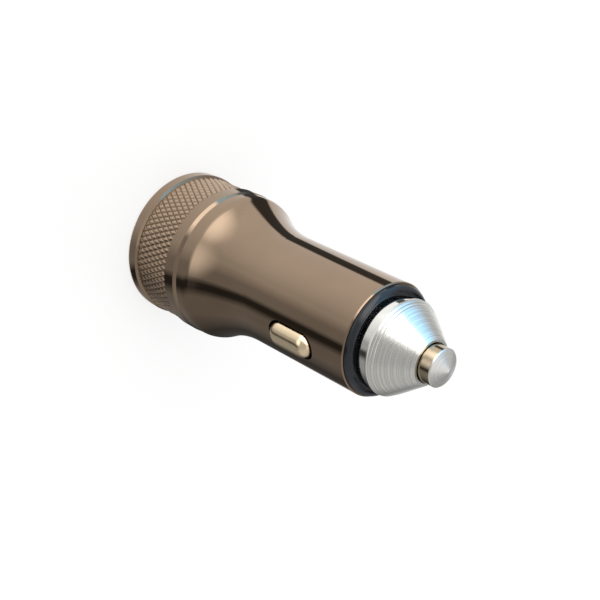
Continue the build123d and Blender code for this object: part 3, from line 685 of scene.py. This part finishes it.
class CHARGER_OT_leaf_springs(Operator):
    """Bends the leaf springs behind the side contacts"""

    bl_idname = "charger.leaf_springs"
    bl_label = "Leaf springs"

    def execute(self, context):
        sizes = context.scene.charger_springs
        finish_of_leaf = sheet_finish("spring bronze", (0.62, 0.42, 0.22), 0.24, 10.0)
        right = self.bend(sizes)
        close_piece(right, "root", finish_of_leaf)
        bpy.ops.object.shade_smooth_by_angle(angle=math.radians(35.0))
        start_clean()
        right.select_set(True)
        context.view_layer.objects.active = right
        bpy.ops.object.duplicate(linked=False)
        left = context.object
        left.name = "leaf_spring_left"
        left.data.name = left.name
        bpy.ops.object.mode_set(mode="EDIT")
        bpy.ops.mesh.select_all(action="SELECT")
        bpy.ops.transform.rotate(value=math.pi, orient_axis="Z", center_override=(0.0, 0.0, 0.0))
        bpy.ops.object.mode_set(mode="OBJECT")
        for leaf, side, sign in ((right, "right", 1), (left, "left", -1)):
            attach(leaf, "root")
            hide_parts(f"ground_spring_{side}")
            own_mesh(leaf)
        return {"FINISHED"}

    @staticmethod
    def bend(sizes):
        """One leaf: a flat foot, a bow spun from the foot's edge, and the second foot."""
        half_sheet = sizes.leaf_sheet / 2
        foot = LEAF_LOW[0] + half_sheet
        rise = LEAF_HIGH[0] - half_sheet - foot
        middle = (LEAF_LOW[2] + LEAF_HIGH[2]) / 2
        half_chord = middle - LEAF_LOW[2] - sizes.leaf_foot
        bow_radius = (half_chord**2 + rise**2) / (2 * rise)
        half_turn = math.asin(half_chord / bow_radius)
        width = LEAF_HIGH[1] - LEAF_LOW[1]
        start_clean()
        bpy.ops.mesh.primitive_plane_add(
            size=1.0,
            location=(foot, 0.0, LEAF_LOW[2] + sizes.leaf_foot / 2),
            rotation=(0.0, math.pi / 2, 0.0),
        )
        bpy.context.object.scale = (sizes.leaf_foot, width, 1.0)
        leaf = open_piece("leaf_spring_right")
        knee = LEAF_LOW[2] + sizes.leaf_foot
        pick(leaf, "edges", lambda edge: all(abs(vert.co.z - knee) < 0.01 * MM for vert in edge.verts))
        centre = (foot + rise - bow_radius, 0.0, middle)
        bpy.ops.mesh.spin(steps=28, angle=2 * half_turn, center=centre, axis=(0.0, 1.0, 0.0))
        bpy.ops.mesh.extrude_region_move(TRANSFORM_OT_translate={"value": (0.0, 0.0, sizes.leaf_foot)})
        bpy.ops.mesh.select_all(action="SELECT")
        bpy.ops.mesh.remove_doubles(threshold=0.001 * MM)
        bpy.ops.mesh.normals_make_consistent(inside=False)
        bpy.ops.object.mode_set(mode="OBJECT")
        apply_modifier(leaf, "SOLIDIFY", thickness=sizes.leaf_sheet, offset=0.0, use_even_offset=False)
        apply_modifier(leaf, "BEVEL", width=0.05 * MM, segments=2, limit_method="ANGLE", angle_limit=1.2)
        return leaf


# Finishes on the CAD nodes

class CHARGER_OT_shell_finish(Operator):
    """Plates the turned shell"""

    bl_idname = "charger.shell_finish"
    bl_label = "Shell plating"

    def execute(self, context):
        dress(gunmetal_finish(context.scene.charger_colours), "shell")
        return {"FINISHED"}


class CHARGER_OT_nose_finish(Operator):
    """Turns the nose bright, nickels the pin and moulds the black bead"""

    bl_idname = "charger.nose_finish"
    bl_label = "Nose, pin and bead"

    def execute(self, context):
        colours = context.scene.charger_colours
        dress(aluminium_finish(colours), "nose_cone")
        dress(pin_finish(colours), "tip_contact")
        dress(insulator_finish(colours), "nose_insulator")
        dress(sheet_finish("terminal tin", (0.62, 0.61, 0.58), 0.25, 11.0), "tip_terminal")
        return {"FINISHED"}


class CHARGER_OT_contact_finish(Operator):
    """Burnishes the side contacts"""

    bl_idname = "charger.contact_finish"
    bl_label = "Side contacts"

    def execute(self, context):
        dress(
            contact_finish(context.scene.charger_colours), "ground_contact_right", "ground_contact_left"
        )
        return {"FINISHED"}


class CHARGER_OT_face_finish(Operator):
    """Finishes the face plate, its light pipe and the two sockets"""

    bl_idname = "charger.face_finish"
    bl_label = "Face and sockets"

    def execute(self, context):
        colours = context.scene.charger_colours
        dress(
            plastic_finish("face plastic", tuple(colours.plastic), 0.34, 0.46, 0.14, 0.008, 12.0),
            "face_plate",
        )
        dress(clear_finish(), "light_pipe")
        dress(
            sheet_finish("socket steel", tuple(colours.socket), 0.2, 13.0),
            "usb_shell_upper",
            "usb_shell_lower",
        )
        dress(
            plastic_finish("tongue plastic", tuple(colours.tongue), 0.4, 0.5, 0.2, 0.006, 14.0),
            "usb_tongue_upper",
            "usb_tongue_lower",
        )
        dress(
            sheet_finish("gold plate", tuple(colours.gold), 0.16, 15.0),
            "usb_contacts_upper",
            "usb_contacts_lower",
        )
        return {"FINISHED"}


class CHARGER_OT_board_finish(Operator):
    """Finishes the circuit board and the parts on it"""

    bl_idname = "charger.board_finish"
    bl_label = "Board and its parts"

    def execute(self, context):
        colours = context.scene.charger_colours
        dress(board_finish(colours), "circuit_board")
        dress(plastic_finish("ferrite", (0.03, 0.03, 0.032), 0.5, 0.7, 0.1, 0.02, 16.0), "choke_core")
        dress(sheet_finish("copper wire", tuple(colours.copper), 0.25, 17.0), "choke_winding")
        dress(
            sheet_finish("can sleeve", (0.55, 0.56, 0.58), 0.28, 18.0), "input_capacitor", "output_capacitor"
        )
        dress(
            sheet_finish("tinned wire", (0.68, 0.67, 0.64), 0.3, 19.0),
            "capacitor_leads",
            "converter_chip_pins",
            "port_chip_pins",
        )
        dress(
            plastic_finish("chip plastic", (0.016, 0.016, 0.018), 0.45, 0.6, 0.09, 0.01, 20.0),
            "converter_chip",
            "port_chips",
            "catch_diode",
        )
        dress(
            plastic_finish("ceramic", (0.42, 0.30, 0.19), 0.35, 0.5, 0.1, 0.008, 21.0),
            "chip_capacitors",
            "chip_resistors",
            "board_fuse",
        )
        dress(plastic_finish("lamp resin", (0.75, 0.73, 0.62), 0.25, 0.35, 0.2, 0.004, 22.0), "power_led")
        return {"FINISHED"}


# Stage

# A light tent that only the metal sees, with plain cards hung in two rows.
# Each card has the azimuths that it hangs between, in degrees, its level and its tint,
# and the light fades from one card to the next. A tint's last number is how much the card covers:
# where the lower row is open, the metal shows the white floor.
PLAIN = (1.0, 1.0, 1.0, 1.0)
COOL = (0.4, 0.7, 1.0, 1.0)
OPEN = (1.0, 1.0, 1.0, 0.0)
LOWER_CARDS = (
    (-180, -163, 1.0, OPEN),  # floor behind
    (-159, -140, 0.08, PLAIN),  # dark flag beside it
    (-136, -95, 1.0, OPEN),  # floor on the window's side
    (-46, -40, 0.7, PLAIN),  # pale card towards the front
    (-22, -8, 0.35, PLAIN),  # grey card in front
    (0, 8, 0.04, PLAIN),  # narrow black flag
    (20, 45, 0.28, PLAIN),  # grey card on the far side
    (75, 100, 0.07, PLAIN),  # black flag on the far side
    (150, 180, 1.0, OPEN),  # floor behind
)
UPPER_CARDS = (
    (-180, -165, 0.5, PLAIN),  # grey card behind
    (-132, -114, 1.7, COOL),  # cool strip beside the soft box
    (-108, -72, 2.5, PLAIN),  # soft box
    (-50, 10, 0.42, PLAIN),  # grey card in front
    (25, 75, 0.5, PLAIN),  # paler card on the far side
    (95, 150, 0.3, PLAIN),  # grey card on the far side
    (170, 180, 0.5, PLAIN),  # grey card behind
)
CARD_PEAK = 2.5
ROOF_LEVEL = 0.8
# Small soft-edged cards before the flare: name, azimuth in degrees, distance from the axis, width,
# foot and head in millimetres, and level
SMALL_CARDS = (
    ("near_card", -32.0, 66.0, 86.0, 11.0, 62.0, 1.5),
    ("window_card", -87.0, 66.0, 96.0, 10.5, 54.0, 2.4),
)
# Heights in millimetres over which the upper cards, and then the tent's roof, take over
UPPER_FROM = (16.0, 56.0)
ROOF_FROM = (190.0, 212.0)
TENT_RINGS = ((14.3, 0.2), (76.0, 10.0), (84.0, 30.0), (84.0, 150.0), (62.0, 205.0), (1.0, 230.0))
# Share of plain white in the floor at the plug, and the distances in metres over which it becomes all white
FLOOR_GLOW = 0.7
FLOOR_FADE = (0.1, 0.5)
FLOOR_PAPER = (0.92, 0.92, 0.92, 1.0)
# Height in metres of the point that the lamps face
LAMP_AIM = 0.03
# Lamps: name, azimuth and elevation in degrees, distance and size in metres, level and tint
LAMPS = (
    ("key_lamp", -85.0, 42.0, 0.45, (0.30, 0.34), 1.4, (1.0, 0.98, 0.95)),
    ("cool_lamp", -122.0, 30.0, 0.45, (0.10, 0.30), 1.15, (0.62, 0.93, 1.0)),
    ("back_lamp", 140.0, 40.0, 0.5, (0.30, 0.30), 1.2, (1.0, 1.0, 1.0)),
    ("side_lamp", 40.0, 45.0, 0.5, (0.24, 0.24), 0.8, (1.0, 1.0, 1.0)),
)


def stage_material(name):
    """A new material with an empty tree."""
    material = bpy.data.materials.new(name)
    material.use_nodes = True
    material.node_tree.nodes.clear()
    return material, material.node_tree


def plainly_seen(tree):
    """One for the rays of the camera, of metal and of glass, which see the background as white."""
    rays = node(tree, "ShaderNodeLightPath").outputs
    seen = maths(tree, "MAXIMUM", rays["Is Camera Ray"], rays["Is Glossy Ray"])
    return maths(tree, "MAXIMUM", seen, rays["Is Transmission Ray"])


def row_of_cards(tree, around, cards):
    """Light and cover round the tent: a colour ramp with a stop at each edge of each card."""
    made = node(tree, "ShaderNodeValToRGB", {"Fac": around})
    elements = made.color_ramp.elements
    edges = [(azimuth, lit, tint) for start, end, lit, tint in cards for azimuth in (start, end)]
    for place, (azimuth, lit, tint) in enumerate(edges):
        if place >= len(elements):
            elements.new(1.0)
        elements[place].position = (azimuth + 180.0) / 360.0
        elements[place].color = (*(lit * part / CARD_PEAK for part in tint[:3]), tint[3])
    return made.outputs["Color"], made.outputs["Alpha"]


def only_in_reflections(card):
    """Hides a stage piece from all but the rays that metal and gloss send out."""
    card.visible_camera = False
    card.visible_diffuse = False
    card.visible_transmission = False
    card.visible_shadow = False


class CHARGER_OT_stage(Operator):
    """Sets up the floor, the lamps, the reflecting cards, the sky and the camera"""

    bl_idname = "charger.stage"
    bl_label = "Stage"

    def execute(self, context):
        sizes = context.scene.charger_stage
        self.lay_floor(sizes)
        self.stand_tent()
        for card in SMALL_CARDS:
            self.stand_small_card(*card)
        for lamp in LAMPS:
            self.hang_lamp(*lamp)
        self.light_sky(context.scene, sizes)
        self.place_camera(context.scene, sizes)
        context.scene.view_settings.view_transform = "Standard"
        return {"FINISHED"}

    @staticmethod
    def lay_floor(sizes):
        """Pale floor that keeps the plug's shadow and fades to plain white away from it."""
        start_clean()
        bpy.ops.mesh.primitive_plane_add(size=sizes.floor, location=(0.0, 0.0, 0.0))
        floor = bpy.context.object
        floor.name = "floor"
        material, tree = stage_material("floor paper")
        paper = node(tree, "ShaderNodeBsdfDiffuse", {"Color": FLOOR_PAPER}).outputs[0]
        white = node(tree, "ShaderNodeEmission", {"Color": WHITE, "Strength": 1.0}).outputs[0]
        place = node(tree, "ShaderNodeTexCoord").outputs["Object"]
        away = node(tree, "ShaderNodeVectorMath", {0: place}, operation="LENGTH").outputs["Value"]
        whiteness = spread(tree, away, *FLOOR_FADE, FLOOR_GLOW, 1.0, smooth=True)
        share = maths(tree, "MULTIPLY", plainly_seen(tree), whiteness)
        surface = node(tree, "ShaderNodeMixShader", {0: share, 1: paper, 2: white}).outputs[0]
        node(tree, "ShaderNodeOutputMaterial", {"Surface": surface})
        floor.data.materials.append(material)

    @staticmethod
    def stand_tent():
        """A light tent round the plug, which only reflections see."""
        start_clean()
        radius, height = (size * MM for size in TENT_RINGS[0])
        bpy.ops.mesh.primitive_circle_add(vertices=128, radius=radius, location=(0.0, 0.0, height))
        tent = open_piece("reflection_cards")
        bpy.ops.mesh.select_all(action="SELECT")
        for wider, higher in TENT_RINGS[1:]:
            ring_on(wider * MM, radius, higher * MM - height)
            radius, height = wider * MM, higher * MM
        bpy.ops.object.mode_set(mode="OBJECT")
        material, tree = stage_material("card light")
        place = node(tree, "ShaderNodeTexCoord").outputs["Object"]
        around = node(tree, "ShaderNodeTexGradient", {"Vector": place}, gradient_type="RADIAL").outputs["Fac"]
        rise = node(tree, "ShaderNodeSeparateXYZ", {0: place}).outputs["Z"]
        upper = spread(tree, rise, UPPER_FROM[0] * MM, UPPER_FROM[1] * MM, smooth=True)
        lower_light, cover = row_of_cards(tree, around, LOWER_CARDS)
        upper_light, _ = row_of_cards(tree, around, UPPER_CARDS)
        light = mixed(tree, upper, lower_light, upper_light)
        overhead = spread(tree, rise, ROOF_FROM[0] * MM, ROOF_FROM[1] * MM, smooth=True)
        light = mixed(tree, overhead, light, shade(PLAIN[:3], ROOF_LEVEL / CARD_PEAK))
        glow = node(tree, "ShaderNodeEmission", {"Color": light, "Strength": CARD_PEAK}).outputs[0]
        clear = node(tree, "ShaderNodeBsdfTransparent").outputs[0]
        hung = maths(tree, "MAXIMUM", cover, upper)
        surface = node(tree, "ShaderNodeMixShader", {0: hung, 1: clear, 2: glow}).outputs[0]
        node(tree, "ShaderNodeOutputMaterial", {"Surface": surface})
        material.cycles.emission_sampling = "NONE"
        tent.data.materials.append(material)
        only_in_reflections(tent)

    @staticmethod
    def stand_small_card(name, azimuth, distance, width, foot, head, lit):
        """A small white card with a soft edge inside the tent, which lights one side of the flare."""
        turned = math.radians(azimuth)
        stand = (distance * MM * math.cos(turned), distance * MM * math.sin(turned), (foot + head) / 2 * MM)
        start_clean()
        bpy.ops.mesh.primitive_plane_add(
            size=1.0, location=stand, rotation=(math.pi / 2, 0.0, turned + math.pi / 2)
        )
        card = bpy.context.object
        card.name = name
        card.scale = (width * MM, (head - foot) * MM, 1.0)
        material, tree = stage_material(f"{name} light")
        place = node(tree, "ShaderNodeTexCoord").outputs["Object"]
        whole = node(tree, "ShaderNodeVectorMath", {0: place, "Scale": 2.0}, operation="SCALE").outputs[0]
        ball = node(tree, "ShaderNodeTexGradient", {"Vector": whole}, gradient_type="SPHERICAL")
        share = spread(tree, ball.outputs["Fac"], 0.0, 0.8, smooth=True)
        glow = node(tree, "ShaderNodeEmission", {"Color": WHITE, "Strength": lit}).outputs[0]
        clear = node(tree, "ShaderNodeBsdfTransparent").outputs[0]
        surface = node(tree, "ShaderNodeMixShader", {0: share, 1: clear, 2: glow}).outputs[0]
        node(tree, "ShaderNodeOutputMaterial", {"Surface": surface})
        card.data.materials.append(material)
        only_in_reflections(card)

    @staticmethod
    def hang_lamp(name, azimuth, elevation, distance, size, strength, tint):
        """A soft lamp that faces the plug; its strength is the light that its face shows."""
        turned, raised = math.radians(azimuth), math.radians(elevation)
        towards = Vector(
            (math.cos(turned) * math.cos(raised), math.sin(turned) * math.cos(raised), math.sin(raised))
        )
        start_clean()
        bpy.ops.object.light_add(type="AREA", location=distance * towards + Vector((0.0, 0.0, LAMP_AIM)))
        lamp = bpy.context.object
        lamp.name = name
        lamp.rotation_euler = towards.to_track_quat("Z", "Y").to_euler()
        lamp.data.shape = "RECTANGLE"
        lamp.data.size, lamp.data.size_y = size
        lamp.data.energy = strength * math.pi * size[0] * size[1]
        lamp.data.color = tint

    @staticmethod
    def light_sky(scene, sizes):
        """Even sky, brighter overhead, that the camera, metal and glass see as white."""
        world = bpy.data.worlds.new("studio sky")
        scene.world = world
        world.use_nodes = True
        tree = world.node_tree
        tree.nodes.clear()
        direction = node(tree, "ShaderNodeTexCoord").outputs["Generated"]
        rise = node(tree, "ShaderNodeSeparateXYZ", {0: direction}).outputs["Z"]
        lift = spread(tree, rise, 0.0, 0.9, 0.55, 1.15, smooth=True)
        strength = maths(tree, "MULTIPLY", lift, sizes.sky)
        ends = {0: plainly_seen(tree), 2: strength, 3: 1.0}
        shown = node(tree, "ShaderNodeMix", ends, data_type="FLOAT").outputs[0]
        sky = node(tree, "ShaderNodeBackground", {"Color": WHITE, "Strength": shown}).outputs[0]
        node(tree, "ShaderNodeOutputWorld", {"Surface": sky})

    @staticmethod
    def place_camera(scene, sizes):
        """Camera at the photograph's angle, turned about its own line of sight."""
        turned, raised = sizes.azimuth, sizes.elevation
        back = Vector(
            (math.sin(turned) * math.cos(raised), -math.cos(turned) * math.cos(raised), math.sin(raised))
        )
        level_right = Vector((math.cos(turned), math.sin(turned), 0.0))
        level_up = back.cross(level_right)
        right = math.cos(sizes.roll) * level_right + math.sin(sizes.roll) * level_up
        up = back.cross(right)
        start_clean()
        bpy.ops.object.camera_add()
        camera = bpy.context.object
        camera.name = "photo_camera"
        stand = Vector((0.0, sizes.aside, sizes.aim)) + sizes.distance * back
        camera.matrix_world = Matrix.Translation(stand) @ Matrix((right, up, back)).transposed().to_4x4()
        camera.data.lens = sizes.lens
        camera.data.sensor_width = 36.0
        camera.data.clip_start = 0.005
        camera.data.clip_end = 20.0
        scene.camera = camera


class CHARGER_PT_workshop(Panel):
    """Lists the steps that make the charger."""

    bl_idname = "CHARGER_PT_workshop"
    bl_label = "Car charger plug"
    bl_space_type = "VIEW_3D"
    bl_region_type = "UI"
    bl_category = "Charger"

    def draw(self, context):
        for step in STEPS:
            self.layout.operator(step.bl_idname, text=step.bl_label)


SETTINGS = {
    "charger_knurl": KnurlSizes,
    "charger_springs": SpringSizes,
    "charger_colours": FinishColours,
    "charger_stage": StageSizes,
}
STEPS = (
    CHARGER_OT_knurl_band,
    CHARGER_OT_pin_spring,
    CHARGER_OT_leaf_springs,
    CHARGER_OT_shell_finish,
    CHARGER_OT_nose_finish,
    CHARGER_OT_contact_finish,
    CHARGER_OT_face_finish,
    CHARGER_OT_board_finish,
    CHARGER_OT_stage,
)


def register():
    """Registers the settings, the steps and the panel."""
    for made in (*SETTINGS.values(), *STEPS, CHARGER_PT_workshop):
        bpy.utils.register_class(made)
    for name, made in SETTINGS.items():
        setattr(bpy.types.Scene, name, PointerProperty(type=made))


def unregister():
    """Takes out what register put in."""
    for name in SETTINGS:
        delattr(bpy.types.Scene, name)
    for made in reversed((*SETTINGS.values(), *STEPS, CHARGER_PT_workshop)):
        bpy.utils.unregister_class(made)


def main():
    """Makes the charger and its stage."""
    register()
    bpy.ops.charger.knurl_band()
    bpy.ops.charger.pin_spring()
    bpy.ops.charger.leaf_springs()
    bpy.ops.charger.shell_finish()
    bpy.ops.charger.nose_finish()
    bpy.ops.charger.contact_finish()
    bpy.ops.charger.face_finish()
    bpy.ops.charger.board_finish()
    bpy.ops.charger.stage()


if __name__ == "__main__":
    main()
